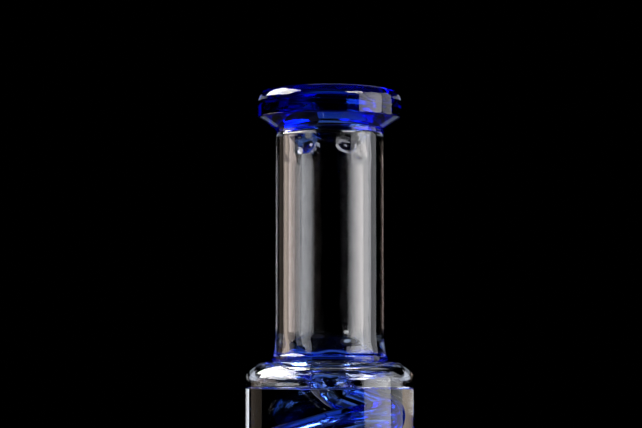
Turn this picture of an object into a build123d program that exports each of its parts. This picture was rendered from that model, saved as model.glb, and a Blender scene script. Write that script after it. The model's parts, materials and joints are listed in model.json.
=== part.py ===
from build123d import *
import math
import os

# Glass water pipe with a coil-cooled chamber. Millimetres, +Z up, origin on the table under the
# centre of the base. The front is -Y, and the slanted downstem leaves towards +X.

# ---- driving dimensions: the coil chamber ----
mouth_z = 392.2           # top of the rolled lip
lip_r = 25.7
lip_height = 10.2         # of the lip's straight and rounded bead
lip_round = 4.2
lip_slope = 3.8           # height of its sloping underside
lip_fillet = 1.5          # hollow where that runs into the neck
lip_root = 5.5            # from the lip's lower corner down to the end of the clear neck
neck_r = 19.25
neck_bore_r = 15.25
neck_flare = 0.65         # how much the neck widens at its foot
foot_ring_h = 2.7
foot_ring_r = 20.7
jacket_r = 30.0
jacket_wall = 2.5
shoulder_z = 295.0        # top of the jacket's shoulder
shoulder_round = 7.0
shoulder_wall = 3.0
shoulder_skirt = 9.0      # straight stretch of the shoulder under its round corner
liquid_z = 286.0

coil_r = 18.0             # of the helix, to the middle of the tube
coil_pitch = 36.0
coil_turns = 2
coil_tube_r = 6.5
coil_bore_r = 4.5
coil_front_z = 271.0      # middle of the tube where the top turn passes the front
funnel_r = 17.0
funnel_bend = [           # x, z, degrees from the vertical, outer and bore radius of a section
    (0.0, shoulder_z, 0.0, funnel_r, neck_bore_r),
    (-0.2, 289.5, 8.0, 8.8, 6.4),
    (0.9, 285.2, 36.0, 7.0, 4.9),
    (3.2, 282.2, 62.0, coil_tube_r, coil_bore_r),
]
funnel_overrun = 0.6
lead_start_reach = 22.0   # how far the lead-in runs from the funnel before it bends
lead_front_reach = 19.0   # and how far before it meets the helix

# ---- driving dimensions: ground joints, radius at the large end, at the small end, length ----
joint_gap = 0.08          # radial clearance between a joint's two halves
joint_29 = (14.6, 13.0, 32.0)
joint_18 = (9.4, 8.3, 22.0)
joint_14 = (7.25, 6.25, 20.0)

# ---- driving dimensions: under the chamber ----
mouth_29_z = 150.0        # where the male 29 joint enters its socket
collar_h = 3.0            # plain collar above a ground male joint
joint_wall = 2.8
drip_length = 14.0
drip_bore_r = 9.8

# ---- driving dimensions: filling spout ----
spout_z = 208.0
spout_r = 6.0
spout_bore_r = 4.0
spout_end_y = 42.0
plug_depth = 8.0
plug_head_r = 7.0
plug_head_h = 4.5
plug_gap = 0.05

# ---- driving dimensions: base ----
base_r = 55.0
base_floor = 6.0
base_heel = 7.0           # radius of the rounded heel, and height of the foot
base_wall = 4.0
cone_low = (54.5, 16.0)   # radius and height where the cone starts
cone_high = (22.0, 88.0)
base_neck_z = 100.0
base_neck_r = 20.0
base_neck_bore_r = 16.0
socket_wall = 3.4
rim_h = 4.0
rim_r = 20.0

# ---- driving dimensions: downstem and bowl, as distances along the slanted axis ----
tip_x, tip_z = -11.0, 14.0
stem_tilt = 45.0
stem_r = 6.0
stem_bore_r = 4.0
slot_count = 6
slot_width = 1.2
slot_length = 10.0
tip_length = 14.0
port_start = 59.0
port_r = 12.0
port_bore_r = 9.8
port_ring_h = 3.0
port_ring_r = 14.4
port_mouth = 103.0
port_rim_h = 4.0
port_rim_r = 14.4
head_length = 24.0
head_r = 11.0
bowl_depth = 25.0
bowl_r = 14.0
bowl_wall = 2.5
handle_r = 2.4
handle_bead_r = 5.2
handle_reach = 15.0

# ---- worked out from them ----
lip_corner_z = mouth_z - lip_height
neck_top_z = lip_corner_z - lip_root
neck_low_z = shoulder_z + foot_ring_h
jacket_bore_r = jacket_r - jacket_wall
corner_r = jacket_r - shoulder_round          # where the shoulder's round corner begins
coil_height = coil_pitch * coil_turns
middle_z = coil_front_z - coil_height / 2     # the chamber is the same after half a turn about Y here
floor_z = 2 * middle_z - shoulder_z
skirt_z = shoulder_z - shoulder_round - shoulder_skirt
ring_low_z = floor_z - foot_ring_h
joint_29_low = mouth_29_z - joint_29[2]
collar_z = mouth_29_z + collar_h
port_low = port_mouth - joint_18[2]
head_start = port_mouth + collar_h
bowl_mouth = head_start + head_length
bowl_start = bowl_mouth + collar_h
stem_dir = Vector(math.sin(math.radians(stem_tilt)), 0, math.cos(math.radians(stem_tilt)))
stem_side = Vector(stem_dir.Z, 0, -stem_dir.X)
stem_plane = Plane(origin=(tip_x, 0, tip_z), x_dir=stem_side, z_dir=(0, -1, 0))
stem_axis = Axis((tip_x, 0, tip_z), stem_dir)

os.makedirs("parts", exist_ok=True)


def finish(builder, name):
    """Label a finished piece and write it."""
    builder.part.label = name
    export_step(builder.part, f"parts/{name}.step")


def turn_polygon(points, plane=Plane.XZ, axis=Axis.Z):
    """Turn a straight-sided outline, given as radius and height, about an axis."""
    with BuildSketch(plane) as outline:
        with BuildLine():
            Polyline(*points, close=True)
        make_face()
    revolve(outline.sketch, axis=axis)


def half_turn(point):
    """The same point after half a turn about the chamber's middle, about the Y axis."""
    x, y, z = point
    return (-x, y, 2 * middle_z - z)


def male_joint(joint, mouth, wall, collar, plane=Plane.XZ, axis=Axis.Z):
    """A ground male cone with its plain collar, mouth being where it enters its socket."""
    large, small, length = joint
    outline = [
        (small - wall, mouth - length),
        (small, mouth - length),
        (large, mouth),
        (large, mouth + collar),
        (large - wall, mouth + collar),
        (large - wall, mouth),
    ]
    turn_polygon(outline, plane, axis)


def tilted_circle_plane(x, z, tilt):
    """A plane across the coil's tube, its normal tilted from straight down towards +X."""
    angle = math.radians(tilt)
    return Plane(origin=(x, 0, z), x_dir=(0, 1, 0), z_dir=(math.sin(angle), 0, -math.cos(angle)))


def funnel_section(x, z, tilt, radius, shift=0.0):
    """One round section of the funnel, moved along its own axis by the shift."""
    with BuildSketch(tilted_circle_plane(x, z, tilt).offset(shift)) as section:
        Circle(radius)
    return section.sketch


def funnel_loft(column, overrun=0.0, mode=Mode.ADD):
    """The funnel's outer or inner skin: a flare under the neck's floor, then a tight bend.

    The column is where funnel_bend holds the skin's radius. The overrun carries the inner
    skin past both ends, so that it cuts them cleanly.
    """
    top, upper, lower, end = [(*row[:3], row[column]) for row in funnel_bend]
    flare = (top[3] - upper[3]) / (top[1] - upper[1])
    mouth = funnel_section(*top[:3], top[3] + flare * overrun, -overrun)
    middle = funnel_section(*upper)
    loft([mouth, middle], ruled=True, mode=mode)
    loft([middle, funnel_section(*lower), funnel_section(*end, overrun)], mode=mode)


def coil_sweep(radius, bore_radius=0.0):
    """The coil: a lead-in from the funnel, the helix and a lead-out to the lower funnel."""
    end_x, end_z, end_tilt = funnel_bend[-1][:3]
    tilt = math.radians(end_tilt)
    rise = coil_pitch / (2 * math.pi * coil_r)
    along = Vector(1, 0, rise).normalized()
    start = Vector(end_x, 0, end_z)
    start_pull = start + Vector(math.sin(tilt), 0, -math.cos(tilt)) * lead_start_reach
    front = Vector(0, -coil_r, coil_front_z)
    front_pull = front + along * lead_front_reach
    lead_in = [tuple(point) for point in (start, start_pull, front_pull, front)]
    lead_out = [half_turn(point) for point in lead_in]
    helix_low = (0, 0, coil_front_z - coil_height)
    with BuildLine() as low_path:
        Bezier(*lead_out)
    with BuildLine() as helix_path:
        Helix(pitch=coil_pitch, height=coil_height, radius=coil_r, center=helix_low)
    turns = helix_path.line.edge().rotate(Axis.Z, -90)
    with BuildLine() as high_path:
        Bezier(*reversed(lead_in))
    low_end = Vector(*lead_out[0])
    low_dir = Vector(*lead_out[1]) - low_end
    with BuildSketch(Plane(origin=low_end, z_dir=low_dir)) as section:
        Circle(radius)
        if bore_radius:
            Circle(bore_radius, mode=Mode.SUBTRACT)
    path = Wire([low_path.line.edge(), turns, high_path.line.edge()])
    sweep(section.sketch, path=path)


# =========================== the coil chamber ===========================

with BuildPart() as mouth_lip:
    with BuildSketch(Plane.XZ):
        with BuildLine():
            Line((neck_bore_r, neck_top_z), (neck_r, neck_top_z))
            FilletPolyline(
                (neck_r, neck_top_z),
                (neck_r, lip_corner_z - lip_slope),
                (lip_r, lip_corner_z),
                (lip_r, mouth_z - lip_round),
                radius=(lip_fillet, 0.5),
            )
            RadiusArc((lip_r, mouth_z - lip_round), (lip_r - lip_round, mouth_z), -lip_round)
            Spline(
                (lip_r - lip_round, mouth_z),
                (neck_bore_r, mouth_z - 2 * lip_round),
                tangents=((-1, 0), (0, -1)),
            )
            Line((neck_bore_r, mouth_z - 2 * lip_round), (neck_bore_r, neck_top_z))
        make_face()
    revolve(axis=Axis.Z)
finish(mouth_lip, "mouth_lip")

with BuildPart() as neck_tube:
    with BuildSketch(Plane.XZ):
        with BuildLine():
            Polyline(
                (neck_r, neck_low_z + 8),
                (neck_r, neck_top_z),
                (neck_bore_r, neck_top_z),
                (neck_bore_r, neck_low_z),
                (neck_r + neck_flare, neck_low_z),
            )
            Spline(
                (neck_r + neck_flare, neck_low_z),
                (neck_r, neck_low_z + 8),
                tangents=((-0.3, 1), (0, 1)),
            )
        make_face()
    revolve(axis=Axis.Z)
finish(neck_tube, "neck_tube")

with BuildPart() as neck_foot_ring:
    with BuildSketch(Plane.XZ):
        with BuildLine():
            Polyline(
                (neck_r + neck_flare, neck_low_z),
                (neck_bore_r, neck_low_z),
                (neck_bore_r, shoulder_z),
                (foot_ring_r - 0.3, shoulder_z),
            )
            ThreePointArc(
                (foot_ring_r - 0.3, shoulder_z),
                (foot_ring_r, shoulder_z + foot_ring_h * 0.45),
                (neck_r + neck_flare, neck_low_z),
            )
        make_face()
    revolve(axis=Axis.Z)
finish(neck_foot_ring, "neck_foot_ring")

with BuildPart() as coil_funnel:
    funnel_loft(3)
    funnel_loft(4, funnel_overrun, Mode.SUBTRACT)
finish(coil_funnel, "coil_funnel")

with BuildPart() as jacket_shoulder:
    inner_round = shoulder_round - jacket_wall
    inner_top = shoulder_z - shoulder_wall
    with BuildSketch(Plane.XZ):
        with BuildLine():
            Line((funnel_r, shoulder_z), (corner_r, shoulder_z))
            RadiusArc((corner_r, shoulder_z), (jacket_r, shoulder_z - shoulder_round), shoulder_round)
            Polyline(
                (jacket_r, shoulder_z - shoulder_round),
                (jacket_r, skirt_z),
                (jacket_bore_r, skirt_z),
                (jacket_bore_r, inner_top - inner_round),
            )
            RadiusArc((jacket_bore_r, inner_top - inner_round), (corner_r, inner_top), -inner_round)
            Polyline((corner_r, inner_top), (funnel_r, inner_top), (funnel_r, shoulder_z))
        make_face()
    revolve(axis=Axis.Z)
finish(jacket_shoulder, "jacket_shoulder")

with BuildPart() as jacket_tube:
    low_skirt_z = 2 * middle_z - skirt_z
    turn_polygon(
        [
            (jacket_bore_r, low_skirt_z),
            (jacket_r, low_skirt_z),
            (jacket_r, skirt_z),
            (jacket_bore_r, skirt_z),
        ]
    )
    with BuildSketch(Plane.XZ.offset(-jacket_bore_r / 2)):
        with Locations((0, spout_z)):
            Circle(spout_r)
    extrude(amount=-jacket_r, mode=Mode.SUBTRACT)
finish(jacket_tube, "jacket_tube")

# the floor is the shoulder turned over
chamber_middle = Axis((0, 0, middle_z), (0, 1, 0))
with BuildPart() as jacket_floor:
    add(jacket_shoulder.part.rotate(chamber_middle, 180))
finish(jacket_floor, "jacket_floor")

with BuildPart() as coil_outlet:
    add(coil_funnel.part.rotate(chamber_middle, 180))
finish(coil_outlet, "coil_outlet")

with BuildPart() as coil_tube:
    coil_sweep(coil_tube_r, coil_bore_r)
finish(coil_tube, "coil_tube")

with BuildPart() as coil_outside:
    coil_sweep(coil_tube_r)

with BuildPart() as outlet_outside:
    funnel_loft(3)

with BuildPart() as glycerin_fill:
    fill_round = shoulder_round - jacket_wall
    fill_low = floor_z + shoulder_wall
    with BuildSketch(Plane.XZ):
        with BuildLine():
            Line((0, fill_low), (corner_r, fill_low))
            RadiusArc((corner_r, fill_low), (jacket_bore_r, fill_low + fill_round), -fill_round)
            Polyline(
                (jacket_bore_r, fill_low + fill_round),
                (jacket_bore_r, liquid_z),
                (0, liquid_z),
                (0, fill_low),
            )
        make_face()
    revolve(axis=Axis.Z)
    with BuildSketch(Plane.XZ.offset(-jacket_bore_r / 2)):
        with Locations((0, spout_z)):
            Circle(spout_bore_r)
    extrude(amount=-(spout_end_y - plug_depth - 0.1 - jacket_bore_r / 2))
    add(outlet_outside.part.rotate(chamber_middle, 180), mode=Mode.SUBTRACT)
    add(outlet_outside.part, mode=Mode.SUBTRACT)
    add(coil_outside.part, mode=Mode.SUBTRACT)
finish(glycerin_fill, "glycerin_fill")

with BuildPart() as fill_spout:
    with BuildSketch(Plane.XZ.offset(-jacket_bore_r)):
        with Locations((0, spout_z)):
            Circle(spout_r)
            Circle(spout_bore_r, mode=Mode.SUBTRACT)
    extrude(amount=-(spout_end_y - jacket_bore_r))
    outer_rim = fill_spout.edges().filter_by(GeomType.CIRCLE).group_by(Axis.Y)[-1]
    fillet(outer_rim.sort_by(SortBy.RADIUS)[-1], 0.8)
finish(fill_spout, "fill_spout")

with BuildPart() as fill_plug:
    with BuildSketch(Plane.XZ.offset(-(spout_end_y - plug_depth))):
        with Locations((0, spout_z)):
            Circle(spout_bore_r - plug_gap)
    extrude(amount=-plug_depth)
    with BuildSketch(Plane.XZ.offset(-spout_end_y - plug_gap)):
        with Locations((0, spout_z)):
            Circle(plug_head_r)
    extrude(amount=-plug_head_h)
    with BuildSketch(Plane.XZ.offset(-(spout_end_y - 0.5))):
        with Locations((0, spout_z)):
            Circle(spout_bore_r - plug_gap)
    extrude(amount=-(0.5 + plug_gap))
    fillet(fill_plug.edges().filter_by(GeomType.CIRCLE).group_by(Axis.Y)[-1], 1.4)
finish(fill_plug, "fill_plug")

with BuildPart() as lower_neck_ring:
    with BuildSketch(Plane.XZ):
        with BuildLine():
            Polyline(
                (neck_r, ring_low_z),
                (neck_bore_r, ring_low_z),
                (neck_bore_r, floor_z),
                (foot_ring_r - 0.3, floor_z),
            )
            ThreePointArc(
                (foot_ring_r - 0.3, floor_z),
                (foot_ring_r, floor_z - foot_ring_h * 0.45),
                (neck_r, ring_low_z),
            )
        make_face()
    revolve(axis=Axis.Z)
finish(lower_neck_ring, "lower_neck_ring")

with BuildPart() as lower_neck:
    joint_r = joint_29[0]
    with BuildSketch(Plane.XZ):
        with BuildLine():
            Line((neck_bore_r, ring_low_z), (neck_r, ring_low_z))
            Spline((neck_r, ring_low_z), (joint_r, collar_z), tangents=((0, -1), (0, -1)))
            Line((joint_r, collar_z), (joint_r - joint_wall, collar_z))
            Spline(
                (joint_r - joint_wall, collar_z),
                (neck_bore_r, ring_low_z),
                tangents=((0, 1), (0, 1)),
            )
        make_face()
    revolve(axis=Axis.Z)
finish(lower_neck, "lower_neck")

with BuildPart() as chamber_joint:
    male_joint(joint_29, mouth_29_z, joint_wall, collar_h)
finish(chamber_joint, "chamber_joint")

with BuildPart() as drip_tip:
    tip_top = (joint_29[1] - joint_wall, joint_29[1] - 0.5)
    tip_low_z = joint_29_low - drip_length
    turn_polygon(
        [
            (drip_bore_r, tip_low_z),
            (drip_bore_r + 2, tip_low_z),
            (tip_top[1], joint_29_low),
            (tip_top[0], joint_29_low),
        ]
    )
    fillet(drip_tip.edges().filter_by(GeomType.CIRCLE).group_by(Axis.Z)[0], 0.6)
finish(drip_tip, "drip_tip")

# ================================ the base ================================

with BuildPart() as base_foot:
    with BuildSketch(Plane.XZ):
        with BuildLine():
            Line((0, 0), (base_r - base_heel, 0))
            RadiusArc((base_r - base_heel, 0), (base_r, base_heel), -base_heel)
            Polyline((base_r, base_heel), (base_r - base_wall, base_heel))
            Spline(
                (base_r - base_wall, base_heel),
                (base_r - base_wall - 3, base_floor),
                tangents=((-0.5, -1), (-1, 0)),
            )
            Polyline((base_r - base_wall - 3, base_floor), (0, base_floor), (0, 0))
        make_face()
    revolve(axis=Axis.Z)
finish(base_foot, "base_foot")

port_bore = Cylinder(port_r, 60, mode=Mode.PRIVATE)
port_bore = Plane(origin=Vector(tip_x, 0, tip_z) + stem_dir * port_start, z_dir=stem_dir) * port_bore


def cone_outline(outset):
    """The outside of the base's wall, moved outwards, as radius and height from the foot up."""
    return [
        (base_r + outset, base_heel),
        (cone_low[0] + outset, cone_low[1]),
        (cone_high[0] + outset, cone_high[1]),
        (base_neck_r + outset, base_neck_z),
    ]


with BuildPart() as base_beaker:
    with BuildSketch(Plane.XZ):
        with BuildLine():
            outer = FilletPolyline(*cone_outline(0), radius=(12, 30))
            inner = FilletPolyline(*cone_outline(-base_wall), radius=(12, 30))
            Line(outer @ 0, inner @ 0)
            Line(outer @ 1, inner @ 1)
        make_face()
    revolve(axis=Axis.Z)
    add(port_bore, mode=Mode.SUBTRACT)
finish(base_beaker, "base_beaker")

with BuildPart() as base_neck:
    socket_low_r = joint_29[1] + joint_gap
    turn_polygon(
        [
            (base_neck_bore_r, base_neck_z),
            (base_neck_r, base_neck_z),
            (socket_low_r + socket_wall, joint_29_low),
            (socket_low_r, joint_29_low),
            (base_neck_bore_r, joint_29_low - 6),
        ]
    )
finish(base_neck, "base_neck")

with BuildPart() as base_socket:
    rim_z = mouth_29_z - rim_h
    taper = (joint_29[0] - joint_29[1]) / joint_29[2]
    rim_bore_r = joint_29[0] + joint_gap - taper * rim_h
    turn_polygon(
        [
            (socket_low_r, joint_29_low),
            (socket_low_r + socket_wall, joint_29_low),
            (rim_bore_r + socket_wall, rim_z),
            (rim_bore_r, rim_z),
        ]
    )
finish(base_socket, "base_socket")

with BuildPart() as socket_rim:
    with BuildSketch(Plane.XZ):
        with BuildLine():
            Polyline(
                (rim_r - 1.2, mouth_29_z),
                (joint_29[0] + joint_gap, mouth_29_z),
                (rim_bore_r, rim_z),
                (rim_r - 1.2, rim_z),
            )
            ThreePointArc(
                (rim_r - 1.2, rim_z), (rim_r, mouth_29_z - rim_h / 2), (rim_r - 1.2, mouth_29_z)
            )
        make_face()
    revolve(axis=Axis.Z)
finish(socket_rim, "socket_rim")

with BuildPart() as port_tube:
    turn_polygon(
        [
            (port_bore_r, port_start),
            (port_r, port_start),
            (port_r, port_low),
            (port_bore_r, port_low),
        ],
        stem_plane,
        stem_axis,
    )
finish(port_tube, "port_tube")

with BuildPart() as port_ring:
    turn_polygon(
        [(0, cone_low[1]), *cone_outline(port_ring_h)[1:3], (0, cone_high[1])]
    )
    turn_cut = Plane(origin=(tip_x, 0, tip_z), z_dir=stem_dir) * Cylinder(
        port_ring_r, 400, mode=Mode.PRIVATE
    )
    add(turn_cut, mode=Mode.INTERSECT)
    with BuildSketch(Plane.XZ):
        with BuildLine():
            Polyline((0, cone_low[1] - 9), *cone_outline(0)[1:3], (0, cone_high[1] + 9), close=True)
        make_face()
    revolve(axis=Axis.Z, mode=Mode.SUBTRACT)
    port_core = Plane(origin=(tip_x, 0, tip_z), z_dir=stem_dir) * Cylinder(
        port_r, 400, mode=Mode.PRIVATE
    )
    add(port_core, mode=Mode.SUBTRACT)
    split(bisect_by=Plane.YZ, keep=Keep.TOP)
finish(port_ring, "port_ring")

with BuildPart() as port_socket:
    large, small, length = joint_18
    rim_start = port_mouth - port_rim_h
    port_taper = (large - small) / length
    turn_polygon(
        [
            (small + joint_gap, port_low),
            (port_r, port_low),
            (port_r, rim_start),
            (large + joint_gap - port_taper * port_rim_h, rim_start),
        ],
        stem_plane,
        stem_axis,
    )
finish(port_socket, "port_socket")

with BuildPart() as port_rim:
    with BuildSketch(stem_plane):
        with BuildLine():
            Polyline(
                (port_rim_r - 1.2, port_mouth),
                (large + joint_gap, port_mouth),
                (large + joint_gap - port_taper * port_rim_h, rim_start),
                (port_rim_r - 1.2, rim_start),
            )
            ThreePointArc(
                (port_rim_r - 1.2, rim_start),
                (port_rim_r, port_mouth - port_rim_h / 2),
                (port_rim_r - 1.2, port_mouth),
            )
        make_face()
    revolve(axis=stem_axis)
finish(port_rim, "port_rim")

# ============================== the downstem ==============================

with BuildPart() as diffuser_tip:
    turn_polygon(
        [(stem_bore_r, 0), (stem_r, 0), (stem_r, tip_length), (stem_bore_r, tip_length)],
        stem_plane,
        stem_axis,
    )
    for slot in range(slot_count // 2):
        slot_frame = Plane(origin=(tip_x, 0, tip_z), z_dir=stem_dir)
        slot_box = Box(slot_width, 4 * stem_r, 2 * slot_length, mode=Mode.PRIVATE)
        add(slot_frame * Rot(0, 0, slot * 360 / slot_count) * slot_box, mode=Mode.SUBTRACT)
finish(diffuser_tip, "diffuser_tip")

with BuildPart() as downstem_tube:
    turn_polygon(
        [
            (stem_bore_r, tip_length),
            (stem_r, tip_length),
            (stem_r, port_low),
            (stem_bore_r, port_low),
        ],
        stem_plane,
        stem_axis,
    )
finish(downstem_tube, "downstem_tube")

with BuildPart() as downstem_joint:
    turn_polygon(
        [
            (stem_bore_r, port_low),
            (small, port_low),
            (large, port_mouth),
            (large, head_start),
            (stem_bore_r, head_start),
        ],
        stem_plane,
        stem_axis,
    )
finish(downstem_joint, "downstem_joint")

with BuildPart() as downstem_head:
    bowl_large, bowl_small, bowl_length = joint_14
    bowl_low = bowl_mouth - bowl_length
    with BuildSketch(stem_plane):
        with BuildLine():
            Polyline(
                (large, head_start),
                (stem_bore_r, head_start),
                (stem_bore_r, bowl_low - 1),
                (bowl_small + joint_gap, bowl_low),
                (bowl_large + joint_gap, bowl_mouth),
                (head_r - 1, bowl_mouth),
            )
            ThreePointArc(
                (head_r - 1, bowl_mouth), (head_r + 1, bowl_mouth - 2), (head_r, bowl_mouth - 4.5)
            )
            Line((head_r, bowl_mouth - 4.5), (head_r, head_start + 4))
            Spline((head_r, head_start + 4), (large, head_start), tangents=((0, -1), (-1, -0.4)))
        make_face()
    revolve(axis=stem_axis)
finish(downstem_head, "downstem_head")

# ================================ the bowl ================================

with BuildPart() as bowl_joint:
    male_joint(joint_14, bowl_mouth, bowl_small - stem_bore_r + 0.5, collar_h, stem_plane, stem_axis)
finish(bowl_joint, "bowl_joint")

with BuildPart() as bowl_cup:
    bowl_top = bowl_start + bowl_depth
    bowl_bore_r = bowl_large - bowl_small + stem_bore_r - 0.5
    with BuildSketch(stem_plane):
        with BuildLine():
            Line((bowl_bore_r, bowl_start), (bowl_large, bowl_start))
            Spline(
                (bowl_large, bowl_start),
                (bowl_r, bowl_start + bowl_depth * 0.6),
                tangents=((0.9, 1), (0, 1)),
            )
            Line((bowl_r, bowl_start + bowl_depth * 0.6), (bowl_r, bowl_top - 1.2))
            ThreePointArc(
                (bowl_r, bowl_top - 1.2),
                (bowl_r - bowl_wall / 2, bowl_top),
                (bowl_r - bowl_wall, bowl_top - 1.2),
            )
            Line(
                (bowl_r - bowl_wall, bowl_top - 1.2),
                (bowl_r - bowl_wall, bowl_start + bowl_depth * 0.6),
            )
            Spline(
                (bowl_r - bowl_wall, bowl_start + bowl_depth * 0.6),
                (bowl_bore_r, bowl_start + 4),
                tangents=((0, -1), (-1, -0.6)),
            )
            Line((bowl_bore_r, bowl_start + 4), (bowl_bore_r, bowl_start))
        make_face()
    revolve(axis=stem_axis)
finish(bowl_cup, "bowl_cup")

with BuildPart() as bowl_handle:
    handle_at = Vector(tip_x, 0, tip_z) + stem_dir * (bowl_start + bowl_depth * 0.7)
    handle_plane = Plane(origin=handle_at + stem_side * (bowl_r - 0.6), z_dir=stem_side)
    with BuildSketch(handle_plane):
        Circle(handle_r)
    extrude(amount=handle_reach - handle_bead_r / 2)
    bead_at = handle_at + stem_side * (bowl_r + handle_reach)
    with Locations(bead_at):
        Sphere(handle_bead_r)
    with BuildSketch(stem_plane):
        with BuildLine():
            Polyline(
                (0, bowl_start + bowl_depth * 0.5),
                (bowl_r, bowl_start + bowl_depth * 0.5),
                (bowl_r, bowl_top),
                (0, bowl_top),
                close=True,
            )
        make_face()
    revolve(axis=stem_axis, mode=Mode.SUBTRACT)
finish(bowl_handle, "bowl_handle")
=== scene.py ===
import json
import math

import bpy
import numpy as np
from mathutils import Matrix, Vector


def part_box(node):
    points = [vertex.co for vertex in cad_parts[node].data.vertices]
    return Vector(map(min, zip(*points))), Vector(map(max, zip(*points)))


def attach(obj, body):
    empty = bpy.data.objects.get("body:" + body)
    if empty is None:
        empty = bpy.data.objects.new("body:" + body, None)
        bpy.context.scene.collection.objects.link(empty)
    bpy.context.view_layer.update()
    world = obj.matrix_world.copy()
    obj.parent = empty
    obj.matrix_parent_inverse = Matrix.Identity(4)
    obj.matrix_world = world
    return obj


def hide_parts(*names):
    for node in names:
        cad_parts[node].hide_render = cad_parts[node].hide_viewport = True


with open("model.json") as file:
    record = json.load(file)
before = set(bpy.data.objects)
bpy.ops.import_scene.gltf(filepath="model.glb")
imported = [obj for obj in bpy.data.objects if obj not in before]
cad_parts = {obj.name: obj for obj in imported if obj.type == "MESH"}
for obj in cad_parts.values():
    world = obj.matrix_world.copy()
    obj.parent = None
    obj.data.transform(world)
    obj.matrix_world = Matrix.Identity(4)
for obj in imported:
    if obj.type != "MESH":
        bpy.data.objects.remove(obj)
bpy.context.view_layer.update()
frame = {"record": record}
slots = {part["node"]: part["material_slot"] for part in frame["record"]["subparts"]}

# A glass water pipe with a coil-cooled chamber. The glass pieces are turned or swept as smooth
# meshes to the CAD sizes. Where two pieces are fused, or glycerin wets the glass, the two share
# one refractive index, so light goes straight on: those faces are marked "joined" and let it
# through, and only the faces that meet air refract and reflect.

MM = 0.001
TURN_STEPS = 240
SMALL_STEPS = 144
GLASS_IOR = 1.473
WET_IOR = 1.06                      # the blue glass against the liquid
OPEN, JOINED, GROUND = 0, 1, 2      # what a face meets: air, fused glass or liquid, or air, ground

# ---------------------------------------------------------------- sizes, from the frame, in mm


def span(node):
    """Outer radius, lowest and highest z of an upright CAD node, in millimetres."""
    low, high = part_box(node)
    return high.x / MM, low.z / MM, high.z / MM


lip_r, neck_top_z, mouth_z = span("mouth_lip")
neck_low_z = span("neck_tube")[1]
foot_ring_r, shoulder_z, _ = span("neck_foot_ring")
jacket_r, skirt_z, _ = span("jacket_shoulder")
_, floor_z, low_skirt_z = span("jacket_floor")
liquid_z = span("glycerin_fill")[2]
ring_low_z = span("lower_neck_ring")[1]
collar_z = span("lower_neck")[1]
middle_z = (shoulder_z + floor_z) / 2

neck_r = 19.25
neck_bore_r = 15.25
neck_foot_r = 19.9
lip_corner_z = mouth_z - 10.2
lip_round = 4.2
lip_slope = 3.8
jacket_bore_r = 27.5
shoulder_round = 7.0
shoulder_wall = 3.0
funnel_r = 17.0
weld_depth = 3.6           # how deep the shoulder and the funnel are fused round the neck
coil_r = 18.0
coil_tube_r = 6.5
coil_bore_r = 4.5
coil_pitch = 36.0
coil_turns = 2
coil_front_z = middle_z + coil_pitch * coil_turns / 2
funnel_bend = (                     # x, z, degrees from the vertical, outer and bore radius
    (0.0, 295.0, 0, 17.0, 15.25),
    (-0.2, 289.5, 8, 8.8, 6.4),
    (0.9, 285.2, 36, 7.0, 4.9),
    (3.2, 282.2, 62, 6.5, 4.5),
)
funnel_end = funnel_bend[-1][:2]
funnel_tilt = math.radians(funnel_bend[-1][2])
lead_start_reach = 22.0
lead_front_reach = 19.0
meniscus = 0.8
level_z = liquid_z - meniscus      # the liquid climbs the wall by the meniscus to its line

large_29, small_29 = 14.6, 13.0     # radii of the ground joint under the chamber
socket_29_z, mouth_29_z = span("base_socket")[1], span("base_socket")[2] + 4
joint_wall = 2.8
drip_r, drip_bore_r = 11.8, 9.8
socket_wall = 3.4
rim_h = 4.0
gap = 0.08                          # between the two halves of a ground joint
spout_z = 208.0
spout_r = 6.0
spout_bore_r = 4.0
spout_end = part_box("fill_spout")[1].y / MM
plug_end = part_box("fill_plug")[1].y / MM
plug_depth = 8.0
plug_r = 7.0

base_r, _, foot_z = span("base_foot")
base_wall = 4.0
cone_low = (54.5, 16.0)
cone_high = (22.0, 88.0)
base_neck_z = span("base_beaker")[2]
base_neck_r, base_neck_bore_r = 20.0, 16.0

tip = (-11.0, 0.0, 14.0)            # where the slanted axis starts
stem_dir = Vector((math.sin(math.radians(45)), 0, math.cos(math.radians(45))))
stem_r = 6.0
stem_bore_r = 4.0
tip_length = 14.0
port_start, port_low, port_mouth = 59.0, 81.0, 103.0    # distances along the slanted axis
port_r = 12.0
port_bore_r = 9.8
port_rim_r = 14.4
large_18, small_18 = 9.4, 8.3
head_start, bowl_mouth, bowl_start, bowl_top = 106.0, 130.0, 133.0, 158.0
head_r = 11.0
large_14, small_14 = 7.25, 6.25
bowl_low = 110.0
bowl_r = 14.0
bowl_wall = 2.5
bowl_bore_r = 4.5

# ---------------------------------------------------------------- outlines and meshes


def arc(cx, cz, rx, start, end, rz=None, steps=16):
    """Points of a round or elliptical arc, in degrees, as radius and height."""
    rz = rx if rz is None else rz
    turn = [math.radians(start + (end - start) * i / steps) for i in range(steps + 1)]
    return [(cx + rx * math.cos(a), cz + rz * math.sin(a)) for a in turn]


def curve(p0, p1, p2, p3, steps=16):
    """Points of a cubic Bezier curve."""
    points = []
    for i in range(steps + 1):
        t = i / steps
        weights = ((1 - t) ** 3, 3 * t * (1 - t) ** 2, 3 * t * t * (1 - t), t**3)
        points.append(tuple(sum(w * p[k] for w, p in zip(weights, (p0, p1, p2, p3)))
                            for k in range(len(p0))))
    return points


def line(start, end, steps=1):
    """Points of a straight stretch."""
    return [tuple(a + (b - a) * i / steps for a, b in zip(start, end)) for i in range(steps + 1)]


def divided(points, share):
    """The same run, each straight cut into as many stretches as share says of its length."""
    run = []
    for start, end in zip(points, points[1:]):
        run += line(start, end, share(math.dist(start, end)))[:-1]
    return run + [points[-1]]


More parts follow.
